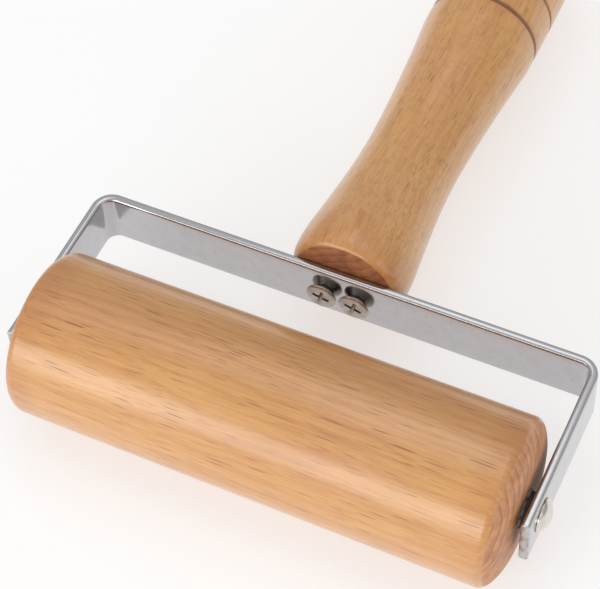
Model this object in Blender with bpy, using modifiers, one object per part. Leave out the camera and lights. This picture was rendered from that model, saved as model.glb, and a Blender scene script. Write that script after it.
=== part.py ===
"""Hand roller: a turned beech roller in a bent steel yoke, with a turned beech handle.

Units are metres, +Z is up. The roller's axis runs along X, with left at -X,
and the handle points along +Y. The origin is on the plane the roller rests
on, under the middle of the object's outline.

The yoke, axle rod, handle, two screws and two loose thrust washers are
parented to frame_origin. The roller and its two bushes are parented to
roller_axis and turn with it. Both empties stand at the middle of the roller,
and every place below is measured from there.
"""
import math

import bmesh
import bpy

MM = 0.001

# ---------------------------------------------------------------- dimensions
# roller: a cylinder, eased at its corners, with slightly crowned ends
ROLLER_R = 20.0 * MM
# each end: where the straight side stops, then where the eased corner meets
# the end face (distance along the axis, radius)
ROLLER_LEFT = (57.2 * MM, 59.6 * MM, 19.05 * MM)
ROLLER_RIGHT = (56.6 * MM, 58.9 * MM, 18.6 * MM)
ROLLER_END_X = 61.2 * MM        # middle of the crowned end face
ROLLER_CORNER_ARC = math.radians(62.0)
ROLLER_CORNER_STEPS = 4
CROWN_POWER = 5.5               # higher keeps the face flat nearer to its edge
CROWN_FRACTIONS = (0.68, 0.82, 0.90, 0.955)     # of the end face's radius
ROLLER_BORE_R = 3.2 * MM
BUSH_SEAT_R = 4.8 * MM
BUSH_SEAT_DEPTH = 12.0 * MM
ROLLER_STEPS = 64

# bushes and washers
FIT_GAP = 0.3 * MM              # gap left between neighbouring pieces
BUSH_R = 4.5 * MM
BUSH_BORE_R = 2.8 * MM
BUSH_LENGTH = 11.4 * MM
BUSH_CHAMFER = 0.3 * MM
BUSH_STEPS = 32
WASHER_R = 4.3 * MM
WASHER_BORE_R = 2.8 * MM
WASHER_T = 0.9 * MM
WASHER_CHAMFER = 0.15 * MM
WASHER_STEPS = 36

# yoke: one flat strip, bent twice
STRIP_T = 2.2 * MM
STRIP_W = 14.8 * MM
STRIP_EDGE_R = 0.8 * MM
YOKE_INNER_X = 62.9 * MM        # a leg's inner face
YOKE_OUTER_X = YOKE_INNER_X + STRIP_T
CROSSBAR_INNER_Y = 36.3 * MM
CROSSBAR_OUTER_Y = CROSSBAR_INNER_Y + STRIP_T
LEG_END_Y = -8.1 * MM           # the legs run a little past the axle
BEND_INNER_R = 3.0 * MM
BEND_STEPS = 8
LEG_DRILL_LENGTH = 150.0 * MM   # cutter, longer than the yoke is wide

# axle rod, with a domed rivet head outside each leg
ROD_R = 2.5 * MM
RIVET_R = 4.1 * MM
RIVET_H = 2.1 * MM
RIVET_RIM_H = 0.35 * MM         # straight rim below the dome
RIVET_GAP = 0.15 * MM           # from the leg's outer face to the head
RIVET_DOME_STEPS = 5
ROD_STEPS = 32

# handle screws, countersunk with a 45 degree cone
SCREW_X = 4.2 * MM              # each side of the middle
SCREW_PROUD = 2.2 * MM          # head face beyond the crossbar's inner face
SCREW_FACE_Y = CROSSBAR_INNER_Y - SCREW_PROUD
SCREW_HEAD_R = 3.9 * MM
SCREW_RIM_H = 0.45 * MM
SCREW_FACE_INSET = 0.25 * MM    # rim chamfer, along the face
SCREW_FACE_DROP = 0.2 * MM      # rim chamfer, along the axis
SCREW_SHANK_R = 1.9 * MM
SCREW_ROOT_R = 1.35 * MM
SCREW_LENGTH = 26.0 * MM
SCREW_TIP_LENGTH = 4.0 * MM
THREAD_START = 8.0 * MM         # below the head face
SCREW_PITCH = 2.0 * MM
THREAD_ROOT_DROP = 0.45 * SCREW_PITCH   # from a ridge down to the next root
SCREW_STEPS = 24

# cross recess in each screw head; its arms taper towards the floor
RECESS_ARM = 4.4 * MM           # full length at the top
RECESS_FLOOR_HALF_ARM = 0.9 * MM
RECESS_W = 0.95 * MM            # full width at the top
RECESS_FLOOR_HALF_W = 0.35 * RECESS_W
RECESS_DEPTH = 1.5 * MM
RECESS_OVERCUT = 0.3 * MM       # cutter beyond the head face
RECESS_TURNS = {"left": 13.0, "right": 16.0}    # degrees

# holes for the screws; the head's cone seats on the rim of the crossbar hole
SCREW_HOLE_R = SCREW_HEAD_R - (SCREW_PROUD - SCREW_RIM_H) + 0.25 * MM
SCREW_HOLE_CUT = 6.0 * MM       # cutter length
HANDLE_GAP = 0.15 * MM          # from the crossbar's outer face to the handle
HANDLE_BASE_Y = CROSSBAR_OUTER_Y + HANDLE_GAP
PILOT_R = SCREW_SHANK_R + 0.4 * MM
PILOT_START_Y = HANDLE_BASE_Y - 1.0 * MM
PILOT_END_Y = SCREW_FACE_Y + SCREW_LENGTH + 0.6 * MM
SCREW_HOLE_STEPS = 24

# handle; its tables hold (distance from the roller axis, radius) in millimetres
HANDLE_BASE_R = 12.3 * MM       # flat end face; a rounded shoulder follows
HANDLE_SHOULDER = [             # from near the flat's edge out to the grip
    (38.98, 13.02), (39.60, 13.65), (40.45, 14.12), (41.60, 14.42),
]
HANDLE_STATIONS = [             # waisted grip, then the palm swell and rounded butt
    (43.5, 14.55), (47.5, 14.42), (52.0, 13.97), (60.0, 13.15), (70.0, 12.36),
    (80.0, 12.12), (90.0, 12.44), (100.0, 13.03), (110.0, 13.78),
    (118.0, 14.54), (122.0, 14.84), (135.0, 14.95), (152.0, 14.78),
    (160.0, 14.10), (166.0, 12.70), (169.8, 10.60),
]
POINTS_PER_SPAN = 2             # curve points for each pair of stations
HANDLE_END_Y = 172.0 * MM
BUTT_FLAT_R = 7.0 * MM
BUTT_EASE_R = 1.2 * MM          # eased edge of the butt's flat, across the axis
BUTT_EASE_Y = 0.45 * MM         # and along it
HANDLE_RISE = 2.3 * MM          # handle axis above the strip's middle
# turned grooves: centre distance, width, depth
GROOVES = [(125.4 * MM, 1.3 * MM, 0.60 * MM), (136.3 * MM, 0.9 * MM, 0.45 * MM)]
HANDLE_STEPS = 40

# middle of the roller in the model's frame
AXLE_CENTRE = (0.0, -(HANDLE_END_Y - ROLLER_R) / 2.0, ROLLER_R)

# turned pieces are drawn about their own Z, then laid along these directions
ALONG_X = (0.0, math.pi / 2.0, 0.0)
ALONG_Y = (-math.pi / 2.0, 0.0, 0.0)
ALONG_MINUS_Y = (math.pi / 2.0, 0.0, 0.0)

SIDES = (("left", -1.0), ("right", 1.0))


# ---------------------------------------------------------------- scene set-up
def new_collection(name):
    collection = bpy.data.collections.new(name)
    bpy.context.scene.collection.children.link(collection)
    return collection


def material(name, colour, roughness, metallic=0.0, coat=0.0):
    """A plain Principled BSDF material."""
    mat = bpy.data.materials.new(name)
    mat.use_nodes = True
    inputs = mat.node_tree.nodes["Principled BSDF"].inputs
    inputs["Base Color"].default_value = (*colour, 1.0)
    inputs["Roughness"].default_value = roughness
    inputs["Metallic"].default_value = metallic
    inputs["Coat Weight"].default_value = coat
    return mat


def empty(name, location):
    marker = bpy.data.objects.new(name, None)
    marker.empty_display_size = 0.01
    marker.location = location
    part_collection.objects.link(marker)
    return marker


for old in list(bpy.data.objects):
    bpy.data.objects.remove(old, do_unlink=True)

part_collection = new_collection("wooden_hand_roller")
cutter_collection = new_collection("cutters")
frame_origin = empty("frame_origin", AXLE_CENTRE)
roller_axis = empty("roller_axis", AXLE_CENTRE)

beech = material("beech", colour=(0.62, 0.36, 0.17), roughness=0.42, coat=0.15)
beech_grip = material("beech_grip", colour=(0.60, 0.35, 0.17), roughness=0.45, coat=0.15)
plated_steel = material("plated_steel", colour=(0.62, 0.62, 0.65), roughness=0.22, metallic=1.0)
nickel = material("nickel", colour=(0.55, 0.51, 0.45), roughness=0.28, metallic=1.0)
screw_steel = material("screw_steel", colour=(0.34, 0.30, 0.27), roughness=0.35, metallic=1.0)
bush_nylon = material("bush_nylon", colour=(0.80, 0.78, 0.72), roughness=0.45)
washer_black = material("washer_black", colour=(0.03, 0.028, 0.026), roughness=0.55)


# ---------------------------------------------------------------- shared helpers
def add_piece(name, mesh, mat, parent, location=(0.0, 0.0, 0.0), rotation=(0.0, 0.0, 0.0)):
    """Make an object in the part's collection under its parent empty."""
    mesh.materials.append(mat)
    obj = bpy.data.objects.new(name, mesh)
    part_collection.objects.link(obj)
    obj.parent = parent
    obj.location = location
    obj.rotation_euler = rotation
    return obj


def turned(name, profile, steps, mat, parent, location, rotation, closed=False):
    """Turn a profile of (radius, height) points about the piece's own Z axis.

    The profile runs down the outer side. A closed profile gives a ring; an
    open one starts and ends on the axis and gives a solid.
    """
    mesh = bpy.data.meshes.new(name)
    edges = [(i, i + 1) for i in range(len(profile) - 1)]
    if closed:
        edges.append((len(profile) - 1, 0))
    mesh.from_pydata([(radius, 0.0, z) for radius, z in profile], edges, [])
    obj = add_piece(name, mesh, mat, parent, location, rotation)
    lathe = obj.modifiers.new("lathe", "SCREW")
    lathe.axis = "Z"
    lathe.angle = 2.0 * math.pi
    lathe.steps = steps
    lathe.render_steps = steps
    lathe.use_merge_vertices = True
    lathe.merge_threshold = 0.00001
    lathe.use_smooth_shade = True
    return obj


def mirrored(profile):
    """The profile mirrored in height, in reverse order."""
    return [(radius, -z) for radius, z in reversed(profile)]


def ring_pair(name, outer_r, bore_r, length, chamfer, steps, mat, parent, centre_x):
    """A plain ring on the axle at each side, with its outer corners broken."""
    half = length / 2.0
    profile = [(outer_r - chamfer, half), (outer_r, half - chamfer),
               (outer_r, -half + chamfer), (outer_r - chamfer, -half),
               (bore_r, -half), (bore_r, half)]
    for side, sign in SIDES:
        turned(name + "_" + side, profile, steps, mat, parent,
               (sign * centre_x, 0.0, 0.0), ALONG_X, closed=True)


def cut(target, tool, tool_name, label):
    """Subtract a new primitive, kept as a hidden helper, from the target."""
    tool.name = tool_name
    for collection in list(tool.users_collection):
        collection.objects.unlink(tool)
    cutter_collection.objects.link(tool)
    tool.parent = frame_origin
    tool.hide_render = True
    tool.display_type = "WIRE"
    boolean = target.modifiers.new(label, "BOOLEAN")
    boolean.operation = "DIFFERENCE"
    boolean.solver = "EXACT"
    boolean.object = tool


def drill(target, tool_name, label, radius, length, vertices, location, rotation):
    """Cut a straight round hole centred on the location."""
    bpy.ops.mesh.primitive_cylinder_add(vertices=vertices, radius=radius, depth=length,
                                        location=location, rotation=rotation)
    cut(target, bpy.context.object, tool_name, label)


# ---------------------------------------------------------------- roller
def roller_end(side_x, edge_x, edge_r):
    """(radius, distance) points from the bush seat out to the end of the straight side."""
    fractions = (BUSH_SEAT_R / edge_r,) + CROWN_FRACTIONS
    points = [(edge_r * f, ROLLER_END_X - (ROLLER_END_X - edge_x) * f ** CROWN_POWER)
              for f in fractions]
    # eased corner: a stretched arc from the end face's edge to the straight side
    for i in range(ROLLER_CORNER_STEPS, -1, -1):
        angle = ROLLER_CORNER_ARC * i / ROLLER_CORNER_STEPS
        inward = (1.0 - math.cos(angle)) / (1.0 - math.cos(ROLLER_CORNER_ARC))
        outward = math.sin(angle) / math.sin(ROLLER_CORNER_ARC)
        points.append((ROLLER_R - (ROLLER_R - edge_r) * inward,
                       side_x + (edge_x - side_x) * outward))
    return points


def build_roller():
    """Roller with its bore and a wider bush seat at each end."""
    seat_floor = ROLLER_END_X - BUSH_SEAT_DEPTH
    profile = roller_end(*ROLLER_RIGHT) + mirrored(roller_end(*ROLLER_LEFT))
    profile += [(BUSH_SEAT_R, -seat_floor), (ROLLER_BORE_R, -seat_floor),
                (ROLLER_BORE_R, seat_floor), (BUSH_SEAT_R, seat_floor)]
    turned("roller", profile, ROLLER_STEPS, beech, roller_axis,
           (0.0, 0.0, 0.0), ALONG_X, closed=True)


# ---------------------------------------------------------------- bushes and washers
def build_bushes():
    """A bush in each seat, just clear of the seat's floor."""
    ring_pair("roller_bush", BUSH_R, BUSH_BORE_R, BUSH_LENGTH, BUSH_CHAMFER, BUSH_STEPS,
              bush_nylon, roller_axis,
              centre_x=ROLLER_END_X - BUSH_SEAT_DEPTH + FIT_GAP + BUSH_LENGTH / 2.0)


def build_washers():
    """A washer midway between each roller end and the yoke's leg."""
    ring_pair("thrust_washer", WASHER_R, WASHER_BORE_R, WASHER_T, WASHER_CHAMFER, WASHER_STEPS,
              washer_black, frame_origin,
              centre_x=(ROLLER_END_X + YOKE_INNER_X) / 2.0)


# ---------------------------------------------------------------- axle rod
def build_axle_rod():
    """Rod with a domed rivet head outside each leg."""
    head_base = YOKE_OUTER_X + RIVET_GAP
    dome_h = RIVET_H - RIVET_RIM_H
    dome_r = (RIVET_R ** 2 + dome_h ** 2) / (2.0 * dome_h)
    dome_arc = math.asin(RIVET_R / dome_r)
    end = []
    for i in range(RIVET_DOME_STEPS + 1):
        angle = dome_arc * i / RIVET_DOME_STEPS
        end.append((dome_r * math.sin(angle),
                    head_base + RIVET_H - dome_r * (1.0 - math.cos(angle))))
    end += [(RIVET_R, head_base), (ROD_R, head_base)]
    turned("axle_rod", end + mirrored(end), ROD_STEPS, nickel, frame_origin,
           (0.0, 0.0, 0.0), ALONG_X)


# ---------------------------------------------------------------- yoke
def bend(side_sign, radius, start, end):
    """Points round one bend of the strip, angles in degrees."""
    points = []
    for i in range(BEND_STEPS + 1):
        angle = math.radians(start + (end - start) * i / BEND_STEPS)
        points.append((side_sign * (YOKE_INNER_X - BEND_INNER_R) + radius * math.cos(angle),
                       CROSSBAR_INNER_Y - BEND_INNER_R + radius * math.sin(angle)))
    return points


def yoke_outline():
    """Outline of the bent strip seen from above, counter-clockwise."""
    outer_r = BEND_INNER_R + STRIP_T
    return [(YOKE_OUTER_X, LEG_END_Y),
            *bend(1.0, outer_r, 0.0, 90.0),
            *bend(-1.0, outer_r, 90.0, 180.0),
            (-YOKE_OUTER_X, LEG_END_Y), (-YOKE_INNER_X, LEG_END_Y),
            *bend(-1.0, BEND_INNER_R, 180.0, 90.0),
            *bend(1.0, BEND_INNER_R, 90.0, 0.0),
            (YOKE_INNER_X, LEG_END_Y)]


def plate_mesh(name, outline, half_width):
    """Closed mesh of a flat outline extruded half_width each way along Z."""
    curve = bpy.data.curves.new(name + "_outline", "CURVE")
    curve.dimensions = "2D"
    curve.fill_mode = "BOTH"
    curve.extrude = half_width
    spline = curve.splines.new("POLY")
    spline.points.add(len(outline) - 1)
    for point, (x, y) in zip(spline.points, outline):
        point.co = (x, y, 0.0, 1.0)
    spline.use_cyclic_u = True
    guide = bpy.data.objects.new(name + "_outline", curve)
    part_collection.objects.link(guide)
    bpy.context.view_layer.update()
    evaluated = guide.evaluated_get(bpy.context.evaluated_depsgraph_get())
    mesh = bpy.data.meshes.new_from_object(evaluated)
    bpy.data.objects.remove(guide, do_unlink=True)
    bpy.data.curves.remove(curve)

    # join the caps to the sides, and merge the caps' triangles
    bm = bmesh.new()
    bm.from_mesh(mesh)
    bmesh.ops.remove_doubles(bm, verts=bm.verts, dist=0.000001)
    bmesh.ops.dissolve_limit(bm, angle_limit=math.radians(1.0), verts=bm.verts, edges=bm.edges)
    bmesh.ops.recalc_face_normals(bm, faces=bm.faces)
    bm.to_mesh(mesh)
    bm.free()
    mesh.name = name
    return mesh


def build_yoke():
    """Bent strip with eased edges, rod holes in its legs and two screw holes."""
    yoke = add_piece("yoke", plate_mesh("yoke", yoke_outline(), STRIP_W / 2.0),
                     plated_steel, frame_origin)
    ease = yoke.modifiers.new("eased_strip_edges", "BEVEL")
    ease.width = STRIP_EDGE_R
    ease.segments = 2
    ease.limit_method = "ANGLE"
    ease.angle_limit = math.radians(50.0)
    ease.use_clamp_overlap = False

    # one straight drill goes through both legs
    drill(yoke, "cut_leg_holes", "rod_holes", radius=ROD_R + FIT_GAP,
          length=LEG_DRILL_LENGTH, vertices=ROD_STEPS,
          location=(0.0, 0.0, 0.0), rotation=ALONG_X)
    for side, sign in SIDES:
        drill(yoke, "cut_screw_hole_" + side, "screw_hole_" + side, radius=SCREW_HOLE_R,
              length=SCREW_HOLE_CUT, vertices=SCREW_HOLE_STEPS,
              location=(sign * SCREW_X, (CROSSBAR_INNER_Y + CROSSBAR_OUTER_Y) / 2.0, 0.0),
              rotation=ALONG_Y)


# ---------------------------------------------------------------- handle
def smooth_through(stations, per_span):
    """Points on a Catmull-Rom curve through (distance, radius) stations."""
    def beyond(last, previous):
        return tuple(2 * a - b for a, b in zip(last, previous))

    controls = [beyond(stations[0], stations[1]), *stations,
                beyond(stations[-1], stations[-2])]
    points = []
    for i in range(1, len(controls) - 2):
        for step in range(per_span):
            t = step / per_span
            points.append(tuple(
                0.5 * (2 * start + (end - before) * t
                       + (2 * before - 5 * start + 4 * end - after) * t ** 2
                       + (3 * start - before - 3 * end + after) * t ** 3)
                for before, start, end, after in zip(*controls[i - 1:i + 3])))
    points.append(stations[-1])
    return points


def handle_profile():
    """Outer profile of the handle, from its butt down to its base."""
    body = [(y * MM, radius * MM)
            for y, radius in smooth_through(HANDLE_STATIONS, POINTS_PER_SPAN)]
    for centre, width, depth in GROOVES:
        # keep the groove's span clear of other points, then turn it in
        body = [point for point in body if abs(point[0] - centre) > width]
        surface_r = min(body, key=lambda point: abs(point[0] - centre))[1]
        floor_r = surface_r - depth
        body += [(centre - width / 2.0, surface_r), (centre - width / 6.0, floor_r),
                 (centre + width / 6.0, floor_r), (centre + width / 2.0, surface_r)]
    body.sort()
    base = [(HANDLE_BASE_Y, 0.0), (HANDLE_BASE_Y, HANDLE_BASE_R)]
    base += [(y * MM, radius * MM) for y, radius in HANDLE_SHOULDER]
    butt = [(HANDLE_END_Y - BUTT_EASE_Y, BUTT_FLAT_R + BUTT_EASE_R),
            (HANDLE_END_Y, BUTT_FLAT_R), (HANDLE_END_Y, 0.0)]
    return [(radius, y) for y, radius in reversed(base + body + butt)]


def build_handle():
    """Handle with a pilot hole for each screw."""
    handle = turned("handle", handle_profile(), HANDLE_STEPS, beech_grip,
                    frame_origin, (0.0, 0.0, HANDLE_RISE), ALONG_Y)
    for side, sign in SIDES:
        drill(handle, "cut_pilot_" + side, "pilot_" + side, radius=PILOT_R,
              length=PILOT_END_Y - PILOT_START_Y, vertices=SCREW_HOLE_STEPS,
              location=(sign * SCREW_X, (PILOT_END_Y + PILOT_START_Y) / 2.0, 0.0),
              rotation=ALONG_Y)


# ---------------------------------------------------------------- handle screws
def screw_profile():
    """Countersunk wood screw, its head face at height 0; ridges for the thread."""
    cone_h = SCREW_HEAD_R - SCREW_SHANK_R
    z = -THREAD_START
    profile = [(0.0, 0.0), (SCREW_HEAD_R - SCREW_FACE_INSET, 0.0),
               (SCREW_HEAD_R, -SCREW_FACE_DROP), (SCREW_HEAD_R, -SCREW_RIM_H),
               (SCREW_SHANK_R, -SCREW_RIM_H - cone_h), (SCREW_SHANK_R, z)]
    while z - SCREW_PITCH > -SCREW_LENGTH + SCREW_TIP_LENGTH:
        profile.append((SCREW_ROOT_R, z - THREAD_ROOT_DROP))
        profile.append((SCREW_SHANK_R, z - SCREW_PITCH))
        z -= SCREW_PITCH
    profile += [(SCREW_ROOT_R, z - THREAD_ROOT_DROP), (0.0, -SCREW_LENGTH)]
    return profile


def recess_arm(x, turn):
    """Cutter for one tapered bar of the cross: long at its top, short at its floor."""
    bpy.ops.mesh.primitive_cube_add(size=1.0)
    slot = bpy.context.object
    for vertex in slot.data.vertices:
        if vertex.co.z > 0.0:
            half_arm, half_width = RECESS_ARM / 2.0, RECESS_W / 2.0
        else:
            half_arm, half_width = RECESS_FLOOR_HALF_ARM, RECESS_FLOOR_HALF_W
        vertex.co.x = math.copysign(half_arm, vertex.co.x)
        vertex.co.y = math.copysign(half_width, vertex.co.y)
        vertex.co.z *= RECESS_DEPTH + RECESS_OVERCUT
    slot.location = (x, SCREW_FACE_Y + (RECESS_DEPTH - RECESS_OVERCUT) / 2.0, 0.0)
    slot.rotation_euler = (math.pi / 2.0, math.radians(turn), 0.0)
    return slot


def build_screws():
    """Two screws, driven from the roller's side of the crossbar into the handle."""
    for side, sign in SIDES:
        x = sign * SCREW_X
        screw = turned("handle_screw_" + side, screw_profile(), SCREW_STEPS, screw_steel,
                       frame_origin, (x, SCREW_FACE_Y, 0.0), ALONG_MINUS_Y)
        for arm in (0, 1):
            cut(screw, recess_arm(x, RECESS_TURNS[side] + 90.0 * arm),
                "cut_recess_%s_%d" % (side, arm), "recess_%d" % arm)


build_roller()
build_bushes()
build_washers()
build_axle_rod()
build_yoke()
build_handle()
build_screws()
bpy.context.view_layer.update()
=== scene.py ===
"""Wooden hand roller lying flat: turned roller, bent strip yoke, riveted rod and turned handle.

The roller turns about X, with left at -X. The yoke's legs run along Y from the rod to the
crossbar, and the handle carries on towards +Y. Z is up. Lengths are in millimetres from the
middle of the roller's axis, and become metres where a mesh is made. Lights, camera and object
places are in metres.
"""
import math
from collections import namedtuple

import bmesh
import bpy
from mathutils import Matrix, Vector


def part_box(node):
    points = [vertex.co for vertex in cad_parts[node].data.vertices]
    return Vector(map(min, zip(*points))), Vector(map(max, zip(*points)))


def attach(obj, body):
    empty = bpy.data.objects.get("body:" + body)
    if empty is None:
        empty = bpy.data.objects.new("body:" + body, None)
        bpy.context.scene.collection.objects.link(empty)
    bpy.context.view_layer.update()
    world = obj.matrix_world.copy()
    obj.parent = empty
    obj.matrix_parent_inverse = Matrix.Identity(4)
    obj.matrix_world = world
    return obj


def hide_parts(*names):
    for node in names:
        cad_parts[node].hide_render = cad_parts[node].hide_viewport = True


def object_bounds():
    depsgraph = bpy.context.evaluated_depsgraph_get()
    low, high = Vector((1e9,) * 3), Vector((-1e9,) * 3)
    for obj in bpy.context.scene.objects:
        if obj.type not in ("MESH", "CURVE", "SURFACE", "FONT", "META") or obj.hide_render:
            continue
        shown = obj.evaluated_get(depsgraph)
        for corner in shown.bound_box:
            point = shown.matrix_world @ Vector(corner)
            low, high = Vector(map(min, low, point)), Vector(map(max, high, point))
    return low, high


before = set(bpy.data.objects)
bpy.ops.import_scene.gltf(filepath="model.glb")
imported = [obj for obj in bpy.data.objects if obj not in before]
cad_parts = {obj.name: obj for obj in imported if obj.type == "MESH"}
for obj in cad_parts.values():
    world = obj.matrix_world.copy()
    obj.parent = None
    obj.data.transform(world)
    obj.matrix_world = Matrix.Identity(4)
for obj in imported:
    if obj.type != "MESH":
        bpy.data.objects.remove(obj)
CAD_LO, CAD_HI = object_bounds()

MM = 0.001
SIDES = ("left", "right")

# ------------------------------------------------------------------ sizes from the frame
roller_lo, roller_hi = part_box("roller")
yoke_lo, yoke_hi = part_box("yoke")
handle_lo, handle_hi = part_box("handle")
rod_lo, rod_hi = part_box("axle_rod")

AXIS = Vector(((roller_lo.x + roller_hi.x) / 2, (roller_lo.y + roller_hi.y) / 2,
               (roller_lo.z + roller_hi.z) / 2))
MID_AXLE = Vector((0, AXIS.y, AXIS.z))           # on the axle line at x = 0
ROLLER_R = (roller_hi.z - roller_lo.z) / 2 / MM
ROLLER_HALF = (roller_hi.x - roller_lo.x) / 2 / MM
YOKE_HALF = (yoke_hi.x - yoke_lo.x) / 2 / MM     # to the outer face of a leg
STRIP_HALF = (yoke_hi.z - yoke_lo.z) / 2 / MM    # half the strip's width
BAR_OUT = (yoke_hi.y - AXIS.y) / MM              # handle side of the crossbar
LEG_END = (yoke_lo.y - AXIS.y) / MM
HANDLE_BASE = (handle_lo.y - AXIS.y) / MM
HANDLE_END = (handle_hi.y - AXIS.y) / MM
HANDLE_RISE = ((handle_lo.z + handle_hi.z) / 2 - AXIS.z) / MM    # handle axis above roller axis
RIVET_TOP = (rod_hi.x - rod_lo.x) / 2 / MM
RIVET_R = (rod_hi.z - rod_lo.z) / 2 / MM

STRIP_T = 2.2
BAR_IN = BAR_OUT - STRIP_T                       # roller side of the crossbar
BORE_R = 2.8                                     # of bushes and washers
ALONG_Y = (0, 0, math.pi / 2)                    # turns a local X axis to +Y

Screw = namedtuple("Screw", "x face head_r length")
SCREWS = {}
for side in SIDES:
    lo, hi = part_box("handle_screw_" + side)
    SCREWS[side] = Screw(x=(lo.x + hi.x) / 2 / MM, face=(lo.y - AXIS.y) / MM,
                         head_r=(hi.x - lo.x) / 2 / MM, length=(hi.y - lo.y) / MM)


# ------------------------------------------------------------------ mesh helpers
def smooth(obj, angle):
    obj.data.shade_smooth()
    obj.data.set_sharp_from_angle(angle=math.radians(angle))


def mesh_object(name, verts, faces, sharp, location, rotation):
    """A closed mesh in millimetres, made outward-facing and smooth-shaded."""
    bm = bmesh.new()
    points = [bm.verts.new((x * MM, y * MM, z * MM)) for x, y, z in verts]
    for face in faces:
        bm.faces.new([points[i] for i in face])
    bmesh.ops.remove_doubles(bm, verts=bm.verts, dist=1e-7)
    bmesh.ops.recalc_face_normals(bm, faces=bm.faces)
    mesh = bpy.data.meshes.new(name)
    bm.to_mesh(mesh)
    bm.free()
    obj = bpy.data.objects.new(name, mesh)
    bpy.context.scene.collection.objects.link(obj)
    obj.location = AXIS if location is None else location
    if rotation is not None:
        obj.rotation_euler = rotation
    smooth(obj, sharp)
    return obj


def lathe(name, profile, segs, closed=False, sharp=30.0, location=None, rotation=None,
          shape=None):
    """Turn (along, radius) points about local X. shape(x, radius, angle) may change a radius."""
    verts, rings = [], []
    for x, radius in profile:
        if radius < 1e-6:
            rings.append([len(verts)])
            verts.append((x, 0.0, 0.0))
            continue
        ring = []
        for i in range(segs):
            angle = 2 * math.pi * i / segs
            turned = shape(x, radius, angle) if shape else radius
            ring.append(len(verts))
            verts.append((x, turned * math.cos(angle), turned * math.sin(angle)))
        rings.append(ring)
    pairs = list(zip(rings[:-1], rings[1:]))
    if closed:
        pairs.append((rings[-1], rings[0]))
    faces = []
    for here, there in pairs:
        for i in range(segs):
            j = (i + 1) % segs
            if len(here) == 1:
                faces.append((here[0], there[i], there[j]))
            elif len(there) == 1:
                faces.append((here[i], there[0], here[j]))
            else:
                faces.append((here[i], there[i], there[j], here[j]))
    return mesh_object(name, verts, faces, sharp, location, rotation)


def loft(name, loops, location=None, rotation=None):
    """Skin a row of equal-count point loops and cap both ends."""
    count, last = len(loops[0]), len(loops) - 1
    verts = [point for loop in loops for point in loop]
    faces = []
    for here in range(0, last * count, count):
        there = here + count
        for i in range(count):
            j = (i + 1) % count
            faces.append((here + i, here + j, there + j, there + i))
    faces.append(tuple(reversed(range(count))))
    faces.append(tuple(range(last * count, len(verts))))
    return mesh_object(name, verts, faces, 30.0, location, rotation)


def eased_corner(before, corner, after, cut, share=0.45):
    """Four points round a corner, cut back no further than a share of either side."""
    corner = Vector(corner)
    back, ahead = Vector(before) - corner, Vector(after) - corner
    cut = min(cut, back.length * share, ahead.length * share)
    start, end = corner + back.normalized() * cut, corner + ahead.normalized() * cut
    points = []
    for k in range(4):
        t = k / 3
        point = start * (1 - t) ** 2 + corner * 2 * t * (1 - t) + end * t ** 2
        points.append((point.x, point.y))
    return points


def catmull(points, steps_between):
    """Spline from the second point up to, not including, the last but one."""
    curve = []
    for before, start, end, after in zip(points, points[1:], points[2:], points[3:]):
        steps = steps_between(start, end)
        for k in range(steps):
            t = k / steps
            curve.append(tuple(
                0.5 * (2 * b + (c - a) * t + (2 * a - 5 * b + 4 * c - d) * t * t
                       + (3 * b - a - 3 * c + d) * t ** 3)
                for a, b, c, d in zip(before, start, end, after)))
    return curve


def mirrored(profile):
    return [(-x, radius) for x, radius in reversed(profile)]


def cylinder(start, stop, radius):
    return [(start, 0), (start, radius), (stop, radius), (stop, 0)]


def screw_hole_tool(screw, profile, segs):
    return lathe("tool", profile, segs, location=AXIS + Vector((screw.x * MM, 0, 0)),
                 rotation=ALONG_Y)


def boolean_cut(obj, tools, sharp):
    """Cut closed tool meshes out of obj, apply, and drop the tools."""
    for tool in tools:
        cut = obj.modifiers.new("cut", "BOOLEAN")
        cut.operation = "DIFFERENCE"
        cut.solver = "EXACT"
        cut.object = tool
    bpy.context.view_layer.update()
    depsgraph = bpy.context.evaluated_depsgraph_get()
    mesh = bpy.data.meshes.new_from_object(obj.evaluated_get(depsgraph))
    obj.modifiers.clear()
    old = obj.data
    obj.data = mesh
    mesh.name = old.name
    bpy.data.meshes.remove(old)
    for tool in tools:
        data = tool.data
        bpy.data.objects.remove(tool, do_unlink=True)
        bpy.data.meshes.remove(data)
    smooth(obj, sharp)


def tidy(obj, sharp):
    """Merge the near-coincident points a cut leaves, and keep the surface closed."""
    bm = bmesh.new()
    bm.from_mesh(obj.data)
    bmesh.ops.remove_doubles(bm, verts=bm.verts, dist=2e-6)
    bmesh.ops.dissolve_degenerate(bm, edges=bm.edges, dist=1e-6)
    bmesh.ops.triangulate(bm, faces=[f for f in bm.faces if len(f.verts) > 4],
                          ngon_method="BEAUTY")
    bmesh.ops.dissolve_degenerate(bm, edges=bm.edges, dist=1e-6)
    rim = [e for e in bm.edges if e.is_boundary]
    if rim:
        bmesh.ops.holes_fill(bm, edges=rim, sides=0)
    bmesh.ops.recalc_face_normals(bm, faces=bm.faces)
    bm.to_mesh(obj.data)
    bm.free()
    smooth(obj, sharp)


def register(obj, rides, replaces):
    """Tell the frame what a piece moves with, which CAD piece it replaces."""
    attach(obj, rides)
    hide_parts(replaces)


# ------------------------------------------------------------------ roller
SEAT_R = 4.8                # bush seat
SEAT_DEPTH = 12.0
ROLLER_BORE_R = 3.2
SEAT_LIP = 0.6              # how far in the seat's first ring lies
CORNER_SWEEP = 50.0         # degrees of arc in the eased corner

# each end: where the straight side stops, then x and radius of the end face's edge
LEFT_END = (57.2, 59.6, 19.05)
RIGHT_END = (56.6, 58.9, 18.6)


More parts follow.
